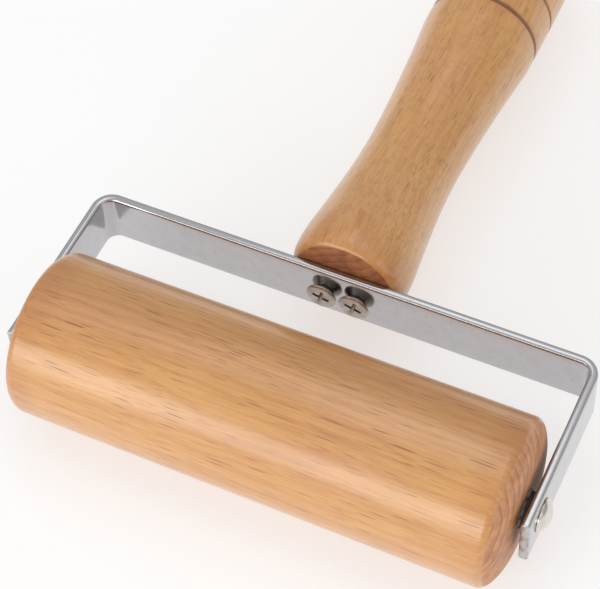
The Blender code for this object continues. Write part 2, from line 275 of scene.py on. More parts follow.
def roller_end(side_half, edge_x, edge_r):
    """Eased corner and crown of one end, from the straight side in to the bush seat."""
    sweep = math.radians(CORNER_SWEEP)
    corner_steps, crown_steps = 14, 36
    side = []
    for i in range(corner_steps + 1):
        angle = sweep * i / corner_steps
        side.append((side_half + (edge_x - side_half) * math.sin(angle) / math.sin(sweep),
                     ROLLER_R - (ROLLER_R - edge_r) * (1 - math.cos(angle))
                     / (1 - math.cos(sweep))))
    crown = []
    for i in range(1, crown_steps + 1):
        out = 1 - (1 - SEAT_R / edge_r) * (i / crown_steps) ** 1.6
        crown.append((ROLLER_HALF - (ROLLER_HALF - edge_x) * out ** 5.5, edge_r * out))
    # a hair of softness where the eased corner meets the end face, and at the seat's mouth
    outer = side[:-1] + eased_corner(side[-2], side[-1], crown[0], 0.16) + crown
    seat = (ROLLER_HALF - SEAT_LIP, SEAT_R)
    return outer[:-1] + eased_corner(outer[-2], outer[-1], seat, 0.25) + [seat]


def roller_profile():
    """Closed profile: outer side and crowned ends, then bore and bush seats."""
    side_rings = 40
    left, right = LEFT_END[0], RIGHT_END[0]
    side = [(-left + (left + right) * i / side_rings, ROLLER_R) for i in range(1, side_rings)]
    seat = ROLLER_HALF - SEAT_DEPTH
    bore = [(seat, SEAT_R), (seat, ROLLER_BORE_R), (-seat, ROLLER_BORE_R), (-seat, SEAT_R)]
    return mirrored(roller_end(*LEFT_END)) + side + roller_end(*RIGHT_END) + bore


roller = lathe("roller_wood", roller_profile(), 192, closed=True, sharp=28.0)
register(roller, "roller_assembly", "roller")


# ------------------------------------------------------------------ bushes and washers
BUSH_R = 4.72


def build_ring(name, box, outer_r, ease, segs):
    """Plain ring on the axle line, as long as its box, with its four corners eased."""
    start, stop = box[0].x / MM, box[1].x / MM
    corners = [(start, BORE_R), (start, outer_r), (stop, outer_r), (stop, BORE_R)]
    profile = []
    for i in range(4):
        profile += eased_corner(corners[i - 1], corners[i], corners[(i + 1) % 4], ease,
                                share=1.0)
    return lathe(name, profile, segs, closed=True, sharp=40.0, location=MID_AXLE)


for side in SIDES:
    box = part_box("roller_bush_" + side)
    bush = build_ring("bush_" + side, box, BUSH_R, ease=0.25, segs=72)
    register(bush, "roller_assembly", "roller_bush_" + side)
    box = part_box("thrust_washer_" + side)
    washer_r = (box[1].z - box[0].z) / 2 / MM
    washer = build_ring("washer_" + side, box, washer_r, ease=0.16, segs=96)
    register(washer, side + "_washer", "thrust_washer_" + side)


# ------------------------------------------------------------------ yoke
BEND_R = 3.0                # inside of the bends
STRIP_EDGE_R = 0.86
EASE_LENGTH = 0.28
# distance from a leg's end, how far the section is drawn in there
LEG_END_EASE = [(0.0, 0.28), (0.05, 0.14), (0.14, 0.045), (EASE_LENGTH, 0.0)]
ROD_HOLE_R = 2.62
SCREW_HOLE_R = 2.4
SCREW_HOLE_MOUTH_R = 2.55   # slightly flared on the roller side


def strip_section(inset):
    """Rounded flat-strip section: (through the thickness, across the width)."""
    half_t, half_w = STRIP_T / 2 - inset, STRIP_HALF - inset
    edge_r = max(STRIP_EDGE_R - inset, 0.12)
    mid_t, mid_w = half_t - edge_r, half_w - edge_r
    outline = []
    for centre_t, centre_w, start in ((mid_t, mid_w, 0), (-mid_t, mid_w, 90),
                                      (-mid_t, -mid_w, 180), (mid_t, -mid_w, 270)):
        for i in range(7):
            angle = math.radians(start + 90 * i / 6)
            outline.append((centre_t + edge_r * math.cos(angle),
                            centre_w + edge_r * math.sin(angle)))
    # the broad faces get a few rows so that reflections stay even
    section = []
    for i, here in enumerate(outline):
        section.append(here)
        there = outline[(i + 1) % len(outline)]
        if abs(there[1] - here[1]) > 2.0:
            for k in range(1, 8):
                t = k / 8
                section.append((here[0] + (there[0] - here[0]) * t,
                                here[1] + (there[1] - here[1]) * t))
    return section


def yoke_path():
    """Centre line from one leg end to the other: x, y, outward normal x and y, inset."""
    leg_x, bar_y = YOKE_HALF - STRIP_T / 2, BAR_OUT - STRIP_T / 2
    bend_r = BEND_R + STRIP_T / 2
    bend_x, bend_y = leg_x - bend_r, bar_y - bend_r
    leg_steps, bend_steps, bar_steps = 22, 14, 48
    leg = [(-leg_x, LEG_END + along, -1.0, 0.0, inset) for along, inset in LEG_END_EASE]
    for i in range(1, leg_steps):
        y = LEG_END + EASE_LENGTH + (bend_y - LEG_END - EASE_LENGTH) * i / leg_steps
        leg.append((-leg_x, y, -1.0, 0.0, 0.0))
    for i in range(bend_steps + 1):
        angle = math.radians(180 - 90 * i / bend_steps)
        out_x, out_y = math.cos(angle), math.sin(angle)
        leg.append((-bend_x + bend_r * out_x, bend_y + bend_r * out_y, out_x, out_y, 0.0))
    bar = [(-bend_x + 2 * bend_x * i / bar_steps, bar_y, 0.0, 1.0, 0.0)
           for i in range(1, bar_steps)]
    other_leg = [(-x, y, -out_x, out_y, inset) for x, y, out_x, out_y, inset in reversed(leg)]
    return leg + bar + other_leg


def build_yoke():
    loops = [[(x + out_x * through, y + out_y * through, across)
              for through, across in strip_section(inset)]
             for x, y, out_x, out_y, inset in yoke_path()]
    yoke = loft("yoke_strip", loops)
    tools = [lathe("tool", cylinder(-80.0, 80.0, ROD_HOLE_R), 64)]
    hole = [(BAR_IN - 1.0, 0), (BAR_IN - 1.0, SCREW_HOLE_MOUTH_R), (BAR_IN + 0.12, SCREW_HOLE_R),
            (BAR_OUT + 1.0, SCREW_HOLE_R), (BAR_OUT + 1.0, 0)]
    tools += [screw_hole_tool(screw, hole, 48) for screw in SCREWS.values()]
    boolean_cut(yoke, tools, 30.0)
    tidy(yoke, 30.0)
    return yoke


register(build_yoke(), "handle_frame", "yoke")


# ------------------------------------------------------------------ riveted rod
ROD_R = 2.5
RIVET_GAP = 0.02            # between leg and rivet head
RIVET_RIM = 0.28            # straight rim under the dome


def rivet_end():
    """One end of the rod from its shank outward: collar, rim and dome."""
    under = YOKE_HALF + RIVET_GAP
    dome_h = RIVET_TOP - YOKE_HALF - RIVET_GAP - RIVET_RIM
    sphere_r = (RIVET_R ** 2 + dome_h ** 2) / (2 * dome_h)
    half_angle = math.asin(RIVET_R / sphere_r)
    head = [(under, ROD_R), (under, RIVET_R - 0.12), (YOKE_HALF + 0.14, RIVET_R)]
    dome_steps = 22
    for i in range(dome_steps):
        angle = half_angle * (1 - i / dome_steps)
        head.append((RIVET_TOP - sphere_r * (1 - math.cos(angle)), sphere_r * math.sin(angle)))
    return head + [(RIVET_TOP, 0.0)]


def peened(x, radius, angle):
    """The dome is very slightly out of round."""
    if abs(x) < YOKE_HALF + 0.2:
        return radius
    return radius * (1 + 0.010 * math.sin(2 * angle + 0.6) + 0.006 * math.sin(5 * angle + 1.9))


rod_profile = mirrored(rivet_end()) + [(-20.0, ROD_R), (20.0, ROD_R)] + rivet_end()
rod = lathe("rivet_rod", rod_profile, 96, sharp=35.0, shape=peened, location=MID_AXLE)
register(rod, "handle_frame", "axle_rod")


# ------------------------------------------------------------------ handle
# (distance from the roller's axis, radius) along the grip
GRIP = [
    (41.60, 14.42), (43.5, 14.55), (47.5, 14.42), (52.0, 13.97), (60.0, 13.15), (70.0, 12.36),
    (80.0, 12.12), (90.0, 12.44), (100.0, 13.03), (110.0, 13.78), (118.0, 14.54),
    (122.0, 14.84), (135.0, 14.95), (152.0, 14.78), (160.0, 14.10), (166.0, 12.70),
    (169.8, 10.60), (HANDLE_END - 1.0, 9.10),
]
SHOULDER = [(HANDLE_BASE, 12.30), (38.98, 13.02), (39.60, 13.65), (40.45, 14.12), GRIP[0]]
BUTT = [(HANDLE_END - 0.38, 8.0), (HANDLE_END - 0.1, 7.35), (HANDLE_END, 7.0),
        (HANDLE_END, 4.0), (HANDLE_END, 0.0)]
BASE_RINGS = (0.0, 4.0, 8.0, 11.0, 12.0)         # radii on the flat base
GROOVES = [(125.4, 1.3, 0.60), (136.3, 0.9, 0.45)]     # centre, half width, depth
GRIP_STEP = 0.9
PILOT_R = 2.25
PILOT_SPARE = 0.6                                # beyond the screw's tip


def beyond(end, neighbour):
    """The point as far past an end as its neighbour lies before it."""
    return (2 * end[0] - neighbour[0], 2 * end[1] - neighbour[1])


def grip_points():
    """The grip's spline with its turned grooves."""
    ends = beyond(GRIP[0], GRIP[1]), beyond(GRIP[-1], GRIP[-2])
    body = catmull([ends[0]] + GRIP + [ends[1]],
                   lambda start, end: max(1, int(round((end[0] - start[0]) / GRIP_STEP))))
    body.append(GRIP[-1])
    body = [point for point in body
            if all(abs(point[0] - centre) > width * 0.95 for centre, width, _ in GROOVES)]
    for centre, width, depth in GROOVES:
        surface = min(body, key=lambda point: abs(point[0] - centre))[1]
        for i in range(15):
            offset = -0.9 * width + 1.8 * width * i / 14
            dip = depth * math.exp(-(offset / (0.36 * width)) ** 2)
            body.append((centre + offset, surface - dip))
    return sorted(body)


def handle_profile():
    # the shoulder swells out of the flat base; its corner is left nearly sharp
    x, radius = beyond(SHOULDER[0], SHOULDER[1])
    swell = catmull([(x + 0.12, radius)] + SHOULDER + [GRIP[1]], lambda start, end: 4)
    swell = [(max(x, HANDLE_BASE), radius) for x, radius in swell]
    face = [(HANDLE_BASE, radius) for radius in BASE_RINGS]
    edge = eased_corner(face[-1], swell[0], swell[1], 0.10)
    return face + edge + swell[1:] + grip_points() + BUTT


handle = lathe("grip_wood", handle_profile(), 168, sharp=40.0,
               location=AXIS + Vector((0, 0, HANDLE_RISE * MM)), rotation=ALONG_Y)
pilots = [screw_hole_tool(screw, cylinder(HANDLE_BASE - 1.0,
                                          screw.face + screw.length + PILOT_SPARE, PILOT_R), 40)
          for screw in SCREWS.values()]
boolean_cut(handle, pilots, 40.0)
register(handle, "handle_frame", "handle")


# ------------------------------------------------------------------ screws
SHANK_R = 1.9
HEAD_RIM = 0.62             # depth where the countersink starts
HEAD_EDGE = 0.04            # radius lost at that depth
THREAD_START = 8.0
THREAD_RUN_IN = 1.5
THREAD_PITCH = 1.8
THREAD_DEPTH = 0.28         # share of the radius
TIP_LENGTH = 4.0
SHANK_STEP = 0.16
SCREW_TURNS = {"left": 13.0, "right": 16.0}      # degrees the cross recess is turned

# cross recess: depth below the face, arm length, half width of an arm
RECESS = [(-0.4, 2.32, 0.50), (0.35, 2.10, 0.46), (1.1, 1.45, 0.36), (1.75, 0.72, 0.22)]


def screw_profile(head_r, length):
    """From the middle of the head's face (x = 0) to the tip, along local X."""
    # very slightly crowned face, then the rim
    points = [(0.10 * (i / 8) ** 2, (head_r - 0.34) * i / 8) for i in range(9)]
    points += [(0.15, head_r - 0.24), (0.25, head_r - 0.10), (0.37, head_r), (0.57, head_r),
               (HEAD_RIM, head_r - HEAD_EDGE)]
    cone = head_r - HEAD_EDGE - SHANK_R
    cone_end = HEAD_RIM + cone
    points += [(HEAD_RIM + (cone_end - HEAD_RIM) * i / 5, head_r - HEAD_EDGE - cone * i / 5)
               for i in range(1, 6)]
    tip_start = length - TIP_LENGTH
    x = cone_end
    while x < length - 0.35:
        x += SHANK_STEP
        radius = SHANK_R
        if x >= max(THREAD_START, tip_start):
            radius *= max(0.06, 1 - ((x - tip_start) / TIP_LENGTH) ** 1.3)
        points.append((x, radius))
    return points + [(length, 0.0)]


def threaded(x, radius, angle):
    """Sink the surface between the thread's ridges."""
    if x < THREAD_START:
        return radius
    grow = min(1.0, (x - THREAD_START) / THREAD_RUN_IN)
    phase = (x / THREAD_PITCH + angle / (2 * math.pi)) % 1.0
    ridge = max(0.0, 1 - abs(phase - 0.5) / 0.24)
    return radius * (1 - THREAD_DEPTH * grow * (1 - ridge))


def cross_tool(location, rotation):
    """Tapered four-winged recess tool, its axis along local X, opening towards -X."""
    loops = []
    for depth, arm, half in RECESS:
        inner = half * 1.35
        loop = []
        for k in range(4):
            cos, sin = math.cos(k * math.pi / 2), math.sin(k * math.pi / 2)
            for out, aside in ((inner, -half), (arm, -half * 0.82),
                               (arm, half * 0.82), (inner, half)):
                loop.append((depth, out * cos - aside * sin, out * sin + aside * cos))
        loops.append(loop)
    return loft("tool", loops, location, rotation)


for side, screw in SCREWS.items():
    place = AXIS + Vector((screw.x * MM, screw.face * MM, 0))
    obj = lathe("screw_" + side, screw_profile(screw.head_r, screw.length), 72, sharp=32.0,
                location=place, rotation=ALONG_Y, shape=threaded)
    spin = (Matrix.Rotation(math.pi / 2, 4, "Z")
            @ Matrix.Rotation(math.radians(SCREW_TURNS[side]), 4, "X")).to_euler()
    boolean_cut(obj, [cross_tool(place, spin)], 32.0)
    register(obj, "handle_frame", "handle_screw_" + side)


# ------------------------------------------------------------------ shader helpers
class Graph:
    """Small wrapper that keeps a node tree readable. Methods return output sockets."""

    def __init__(self, tree):
        self.tree = tree

    def new(self, kind, **props):
        node = self.tree.nodes.new(kind)
        for key, value in props.items():
            setattr(node, key, value)
        return node

    def put(self, socket, value):
        """Link a socket, or set a value; a three-part colour gets an alpha of 1."""
        if isinstance(value, bpy.types.NodeSocket):
            self.tree.links.new(value, socket)
            return
        if isinstance(value, tuple) and len(value) == 3 and len(socket.default_value) == 4:
            value = (*value, 1.0)
        socket.default_value = value

    def math(self, operation, first, second=None):
        node = self.new("ShaderNodeMath", operation=operation)
        self.put(node.inputs[0], first)
        if second is not None:
            self.put(node.inputs[1], second)
        return node.outputs[0]

    def vector(self, operation, first, second=None):
        node = self.new("ShaderNodeVectorMath", operation=operation)
        self.put(node.inputs[0], first)
        if second is not None:
            self.put(node.inputs[1], second)
        return node.outputs[0]

    def object_space(self):
        """The object-space point in millimetres, and the normal."""
        coord = self.new("ShaderNodeTexCoord")
        node = self.new("ShaderNodeVectorMath", operation="SCALE")
        self.put(node.inputs[0], coord.outputs["Object"])
        self.put(node.inputs["Scale"], 1000.0)
        return node.outputs[0], coord.outputs["Normal"]

    def noise(self, vector, stretch=None, detail=2.0, rough=0.5, distort=0.0, colour=False):
        """Noise, with stretch giving its frequency per millimetre on each axis."""
        if stretch is not None:
            vector = self.vector("MULTIPLY", vector, stretch)
        node = self.new("ShaderNodeTexNoise")
        self.put(node.inputs["Vector"], vector)
        self.put(node.inputs["Scale"], 1.0)
        self.put(node.inputs["Detail"], detail)
        self.put(node.inputs["Roughness"], rough)
        self.put(node.inputs["Distortion"], distort)
        return node.outputs["Color"] if colour else node.outputs[0]

    def voronoi(self, vector):
        """Distance to the nearest cell point, and that cell's random colour."""
        node = self.new("ShaderNodeTexVoronoi", feature="F1")
        self.put(node.inputs["Vector"], vector)
        self.put(node.inputs["Scale"], 1.0)
        return node.outputs["Distance"], node.outputs["Color"]

    def ramp(self, value, over, to=(0.0, 1.0), kind="SMOOTHSTEP"):
        """Carry the range `over` to the range `to`."""
        node = self.new("ShaderNodeMapRange", interpolation_type=kind)
        for socket, setting in zip(node.inputs, (value, *over, *to)):
            self.put(socket, setting)
        return node.outputs[0]

    def mix(self, under, over, where, strength=None, blend="MIX"):
        """Lay one colour over another by a mask, weakened by strength when it is given."""
        if strength is not None:
            where = self.math("MULTIPLY", where, strength)
        node = self.new("ShaderNodeMix", data_type="RGBA", blend_type=blend, clamp_factor=True)
        self.put(node.inputs[0], where)
        self.put(node.inputs[6], under)
        self.put(node.inputs[7], over)
        return node.outputs[2]

    def tint(self, colour, by, where, strength=None):
        """Multiply a colour by another where the mask says."""
        if strength is not None:
            where = self.math("MULTIPLY", where, strength)
        tinted = self.mix(colour, by, where=1.0, blend="MULTIPLY")
        return self.mix(colour, tinted, where)

    def split(self, vector):
        node = self.new("ShaderNodeSeparateXYZ")
        self.put(node.inputs[0], vector)
        return node.outputs

    def join(self, *parts):
        node = self.new("ShaderNodeCombineXYZ")
        for socket, part in zip(node.inputs, parts):
            self.put(socket, part)
        return node.outputs[0]

    def bump(self, height, strength, distance):
        node = self.new("ShaderNodeBump")
        self.put(node.inputs["Strength"], strength)
        self.put(node.inputs["Distance"], distance)
        self.put(node.inputs["Height"], height)
        return node.outputs[0]


class Surface(Graph):
    """The graph of a new material, around its Principled shader."""

    def __init__(self, name):
        self.material = bpy.data.materials.new(name)
        self.material.use_nodes = True
        super().__init__(self.material.node_tree)
        self.shader = self.tree.nodes["Principled BSDF"]

    def set(self, **values):
        for key, value in values.items():
            self.put(self.shader.inputs[key.replace("_", " ")], value)


def srgb(*channels):
    """8-bit screen colour to the linear values a shader takes."""
    return tuple(((c / 255 + 0.055) / 1.055) ** 2.4 if c > 10 else c / 255 / 12.92
                 for c in channels)


def assign(surface, *names):
    for name in names:
        materials = bpy.data.objects[name].data.materials
        materials.clear()
        materials.append(surface.material)


# ------------------------------------------------------------------ beech
# Ray fleck layers (medium, small, long, faint). Columns: cells per mm along and across the
# grain, least and greatest fleck size in a cell, shift that sets the layer apart.
FLECK_LAYERS = [
    (0.085, 1.35, -0.02, 0.36, 0.0),
    (0.110, 2.00, 0.00, 0.38, 31.7),
    (0.062, 1.05, -0.20, 0.30, 77.3),
    (0.130, 1.80, 0.05, 0.45, 113.9),
]
MEDIUM_WEIGHT, SMALL_WEIGHT, FAINT_WEIGHT = 0.9, 0.62, 0.26     # beside 1 for the long flecks

RING_SPACING = 2.3          # mm between growth rings
RING_DRIFT = 7.0            # mm the rings wander
WANDER = 5.0                # mm the grain wanders sideways

# shares of the surface relief
FIBRE_RELIEF, FINE_RELIEF, FLECK_RELIEF, WAVE_RELIEF = 0.35, 0.45, 0.9, 0.8


def grain_space(mat, point, along, seed, tilt):
    """Point bent to a wandering grain, which may run slightly across the turning axis."""
    shifted = mat.vector("ADD", point, (seed, seed * 2.1, seed * 3.7))
    wander = mat.noise(shifted, stretch=(0.010, 0.045, 0.045), colour=True)
    wander = mat.vector("SUBTRACT", wander, (0.5, 0.5, 0.5))
    wander = mat.vector("MULTIPLY", wander, (0.0, WANDER, WANDER))
    grain = mat.vector("ADD", point, wander)
    if tilt:
        grain = mat.vector("ADD", grain, mat.join(0.0, mat.math("MULTIPLY", along, tilt), 0.0))
    return mat.vector("ADD", grain, (seed * 13.0, seed * 7.0, seed * 5.0))


def fleck_layer(mat, grain, length, layer):
    along, across, least, most, shift = layer
    cells = mat.vector("MULTIPLY", grain, (along / length, across, across))
    distance, colour = mat.voronoi(mat.vector("ADD", cells, (shift, shift, shift)))
    size = mat.ramp(mat.split(colour)[0], over=(0.0, 1.0), to=(least, most), kind="LINEAR")
    limit = mat.math("MAXIMUM", size, 0.004)
    core = mat.math("MULTIPLY", limit, 0.50)
    return mat.ramp(distance, over=(core, limit), to=(1.0, 0.0))


def ray_flecks(mat, grain, length, amount, patch_floor):
    """Mask of short dark spindle-shaped flecks along the grain, gathered in patches."""
    medium, small, long, faint = [fleck_layer(mat, grain, length, layer)
                                  for layer in FLECK_LAYERS]
    patch = mat.ramp(mat.noise(grain, stretch=(0.03, 0.12, 0.12), rough=0.6),
                     over=(0.30, 0.62), to=(patch_floor, 1.0))
    small = mat.math("MULTIPLY", small, SMALL_WEIGHT)
    medium = mat.math("MULTIPLY", medium, MEDIUM_WEIGHT)
    fleck = mat.math("MAXIMUM", small, mat.math("MAXIMUM", medium, long))
    fleck = mat.math("MAXIMUM", fleck, mat.math("MULTIPLY", faint, FAINT_WEIGHT))
    return mat.math("MULTIPLY", mat.math("MULTIPLY", fleck, patch), amount)


def growth_rings(mat, grain, along, pith_y, pith_z, tilt):
    """Distance from the pith, phase within a ring, and the mask of the dark late wood."""
    square_y = mat.math("MULTIPLY", pith_y, pith_y)
    square_z = mat.math("MULTIPLY", pith_z, pith_z)
    away = mat.math("SQRT", mat.math("ADD", square_y, square_z))
    drift = mat.noise(grain, stretch=(0.012, 0.05, 0.05), detail=3.0, rough=0.55)
    drift = mat.math("MULTIPLY", drift, RING_DRIFT)
    if tilt:
        drift = mat.math("ADD", drift, mat.math("MULTIPLY", along, tilt * 1.5))
    phase = mat.math("FRACT", mat.math("DIVIDE", mat.math("ADD", away, drift), RING_SPACING))
    rise = mat.ramp(phase, over=(0.45, 0.93))
    fall = mat.ramp(phase, over=(0.93, 1.0), to=(1.0, 0.0))
    return away, phase, mat.math("MULTIPLY", rise, fall)


def quarter_figure(mat, base, grain, mottle):
    """Short cross-grain flames and reddish blotches."""
    flame = mat.noise(grain, stretch=(0.55, 0.22, 0.22), detail=3.0, rough=0.6, distort=0.8)
    base = mat.tint(base, by=(0.84, 0.70, 0.52), where=mat.ramp(flame, over=(0.48, 0.66)),
                    strength=mottle)
    blot = mat.noise(grain, stretch=(0.14, 0.34, 0.34), detail=1.0, distort=0.3)
    return mat.tint(base, by=(0.80, 0.52, 0.36), where=mat.ramp(blot, over=(0.66, 0.78)),
                    strength=0.55)


def end_grain(mat, grain, pith_y, pith_z, away, phase, ring, light, dark):
    """Colour of wood cut across: clear rings, rays from the pith and fine pores."""
    angle = mat.math("ARCTAN2", pith_z, pith_y)
    out = mat.math("MULTIPLY", away, 0.10)
    rays = mat.noise(mat.join(out, mat.math("MULTIPLY", angle, 46.0), 3.0),
                     detail=3.0, rough=0.6)
    pores, _ = mat.voronoi(mat.vector("MULTIPLY", grain, (0.3, 3.2, 3.2)))
    sawn = mat.noise(grain, stretch=(0.4, 0.30, 0.30), detail=4.0, rough=0.6)
    face = mat.mix(light, dark, where=mat.ramp(sawn, over=(0.3, 0.7)))
    face = mat.tint(face, by=(0.78, 0.60, 0.50), where=ring, strength=0.75)
    face = mat.tint(face, by=(1.22, 1.24, 1.24),
                    where=mat.ramp(phase, over=(0.05, 0.30), to=(1.0, 0.0)), strength=0.45)
    face = mat.tint(face, by=(1.18, 1.12, 1.05), where=mat.ramp(rays, over=(0.50, 0.72)),
                    strength=0.35)
    return mat.tint(face, by=(0.60, 0.45, 0.36), where=mat.ramp(pores, over=(0.30, 0.12)),
                    strength=0.30)


def darkened_groove(mat, base, along, centre, width, colour, strength):
    """Friction-darkened turned groove with a soft halo."""
    distance = mat.math("ABSOLUTE", mat.math("SUBTRACT", along, centre))
    core = mat.ramp(distance, over=(width * 0.28, width * 0.62), to=(1.0, 0.0))
    halo = mat.ramp(distance, over=(width * 0.45, width * 1.9), to=(0.32, 0.0))
    base = mat.tint(base, by=(0.80, 0.55, 0.34), where=halo)
    return mat.mix(base, colour, where=core, strength=strength)


def beech(name, seed, light, warm, pink, fleck_length, fleck_amount, fleck_colour, ring_amount,
          pith, end_light, end_dark, tone_and_shade_over, tone_and_shade_amount, tone_both_ends=False, grooves=(),
          tilt=0.0, mottle=0.0, patch_floor=0.45, base_flat=None):
    """Turned beech with its grain along local X.

    pith is the (y, z) of the tree's centre, and the tone range is the range of x where the wood
    is tinted darker: towards both ends on the roller, and on the grip towards its base beside
    the strip, where the darkening is painted shade. base_flat is the x of a flat base face, for
    a piece with only that face and its butt in end grain.
    """
    mat = Surface(name)
    point, normal = mat.object_space()
    facing = mat.split(normal)[0]
    along, y, z = mat.split(point)
    grain = grain_space(mat, point, along, seed, tilt)
    fleck = ray_flecks(mat, grain, fleck_length, fleck_amount, patch_floor)

    # long streaks, from fine fibres to broad clouds of tone
    fibre = mat.noise(grain, stretch=(0.055, 1.5, 1.5), detail=4.0, rough=0.62)
    fine = mat.noise(grain, stretch=(0.16, 5.0, 5.0), detail=3.0, rough=0.6)
    broad = mat.noise(grain, stretch=(0.014, 0.085, 0.085), detail=3.0)
    cloud = mat.noise(mat.vector("ADD", grain, (50.0, 20.0, 9.0)), stretch=(0.030, 0.060, 0.060))
    pith_y, pith_z = mat.math("SUBTRACT", y, pith[0]), mat.math("SUBTRACT", z, pith[1])
    away, phase, ring = growth_rings(mat, grain, along, pith_y, pith_z, tilt)

    base = mat.mix(light, warm, where=mat.ramp(broad, over=(0.32, 0.68)))
    base = mat.mix(base, pink, where=mat.ramp(cloud, over=(0.42, 0.72)), strength=0.55)
    base = mat.tint(base, by=(0.74, 0.62, 0.50), where=mat.ramp(fibre, over=(0.40, 0.66)),
                    strength=0.42)
    base = mat.tint(base, by=(0.78, 0.68, 0.58), where=mat.ramp(fine, over=(0.42, 0.70)),
                    strength=0.30)
    base = mat.tint(base, by=(1.14, 1.13, 1.12), where=mat.ramp(fine, over=(0.46, 0.24)),
                    strength=0.22)
    base = mat.tint(base, by=(0.82, 0.68, 0.54), where=ring, strength=ring_amount)
    if mottle:
        base = quarter_figure(mat, base, grain, mottle)
    shaded = mat.mix(base, (0.5, 0.36, 0.25), where=1.0, blend="MULTIPLY")
    base = mat.mix(base, mat.mix(fleck_colour, shaded, where=0.35), where=fleck)

    # the wood is tinted darker towards both ends of the roller; on the grip it darkens towards
    # its base beside the strip, which is painted shade
    reach = mat.math("ABSOLUTE", along) if tone_both_ends else along
    base = mat.tint(base, by=(0.80, 0.60, 0.40), where=mat.ramp(reach, over=tone_and_shade_over),
                    strength=tone_and_shade_amount)

    end = mat.ramp(mat.math("ABSOLUTE", facing), over=(0.66, 0.86))
    if base_flat is not None:
        # the flat base is end grain; the turned shoulder round it is not
        flat = mat.ramp(along, over=(base_flat + 0.10, base_flat + 0.24), to=(1.0, 0.0))
        butt = mat.math("MULTIPLY", end, mat.math("GREATER_THAN", along, 100.0))
        end = mat.math("MAXIMUM", flat, butt)
    face = end_grain(mat, grain, pith_y, pith_z, away, phase, ring, end_light, end_dark)
    base = mat.mix(base, face, where=end)
    for groove in grooves:
        base = darkened_groove(mat, base, along, **groove)

    height = mat.math("ADD", mat.math("MULTIPLY", fibre, FIBRE_RELIEF),
                      mat.math("MULTIPLY", fine, FINE_RELIEF))
    height = mat.math("SUBTRACT", height, mat.math("MULTIPLY", fleck, FLECK_RELIEF))
    wave = mat.noise(point, stretch=(0.12, 0.5, 0.5))
    height = mat.math("ADD", height, mat.math("MULTIPLY", wave, WAVE_RELIEF))
    relief = mat.bump(height, strength=0.30, distance=0.00012)
    rough = mat.ramp(mat.noise(grain, stretch=(0.10, 1.1, 1.1), detail=3.0, rough=0.6),
                     over=(0.3, 0.7), to=(0.36, 0.50), kind="LINEAR")
    # end grain is rougher and takes less lacquer
    rough = mat.math("ADD", rough, mat.math("MULTIPLY", end, 0.18))
    mat.set(Base_Color=base, Roughness=rough, Normal=relief,
            Coat_Weight=mat.ramp(end, over=(0.0, 1.0), to=(0.90, 0.15)),
            Coat_Roughness=0.24, Coat_IOR=1.65, Specular_IOR_Level=0.45)
    return mat


roller_beech = beech(
    "roller_beech", seed=3.0,
    light=srgb(222, 164, 97), warm=srgb(210, 148, 78), pink=srgb(216, 156, 106),
    fleck_length=1.0, fleck_amount=0.85, fleck_colour=srgb(142, 84, 38), ring_amount=0.30,
    pith=(-46.0, 34.0), end_light=srgb(218, 160, 114), end_dark=srgb(192, 130, 88),
    tone_and_shade_over=(49.0, 57.5), tone_and_shade_amount=0.35, tone_both_ends=True)
grip_beech = beech(
    "grip_beech", seed=11.0,
    light=srgb(224, 170, 102), warm=srgb(214, 154, 84), pink=srgb(218, 161, 105),
    fleck_length=0.55, fleck_amount=0.70, fleck_colour=srgb(130, 84, 40), ring_amount=0.22,
    pith=(30.0, 52.0), end_light=srgb(182, 120, 76), end_dark=srgb(148, 92, 54),
    # painted shade: the grip darkens towards its base beside the strip
    tone_and_shade_over=(52.0, 40.0), tone_and_shade_amount=0.50,
    grooves=[dict(centre=GROOVES[0][0], width=1.5, colour=srgb(136, 74, 30), strength=0.92),
             dict(centre=GROOVES[1][0], width=1.05, colour=srgb(146, 84, 36), strength=0.85)],
    tilt=0.05, mottle=0.35, patch_floor=0.10, base_flat=HANDLE_BASE)
assign(roller_beech, "roller_wood")
assign(grip_beech, "grip_wood")


# ------------------------------------------------------------------ metals
def plated(name, colour, deep, rough, mottle, pits, grain_stretch):
    """Bright plate: faint surface grain, soft mottling towards deep, a few pits."""
    mat = Surface(name)
    point, _ = mat.object_space()
    cloud = mat.noise(point, stretch=(0.35, 0.35, 0.35), detail=4.0, rough=0.6)
    speck = mat.noise(point, stretch=(2.6, 2.6, 2.6), detail=3.0, rough=0.65)
    grain = mat.noise(point, stretch=grain_stretch, detail=3.0, rough=0.6)
    base = mat.mix(colour, deep, where=mat.ramp(cloud, over=(0.35, 0.70)), strength=mottle)
    base = mat.mix(base, deep, where=mat.ramp(speck, over=(0.52, 0.72)), strength=mottle * 0.8)

    distance, cell = mat.voronoi(mat.vector("MULTIPLY", point, (1.1, 1.1, 1.1)))
    limit = mat.ramp(mat.split(cell)[1], over=(0.55, 1.0), to=(0.061, 0.24), kind="LINEAR")
    pit = mat.ramp(distance, over=(0.06, limit), to=(1.0, 0.0))
    pit = mat.math("MULTIPLY", pit, mat.ramp(cloud, over=(0.45, 0.60)))
    pit = mat.math("MULTIPLY", pit, pits)
    base = mat.mix(base, (0.10, 0.09, 0.085), where=pit)

    # the clouds and specks share the roughness; the grain leads the relief
    cloud_half = mat.math("MULTIPLY", cloud, 0.5)
    blotch = mat.math("ADD", cloud_half, mat.math("MULTIPLY", speck, 0.5))
    roughness = mat.ramp(blotch, over=(0.3, 0.7), to=rough, kind="LINEAR")
    grain_half = mat.math("MULTIPLY", grain, 0.5)
    height = mat.math("ADD", grain_half, mat.math("MULTIPLY", speck, 0.25))
    height = mat.math("SUBTRACT", height, pit)
    mat.set(Base_Color=base, Metallic=1.0, Roughness=roughness,
            Normal=mat.bump(height, strength=0.10, distance=0.00005))
    return mat


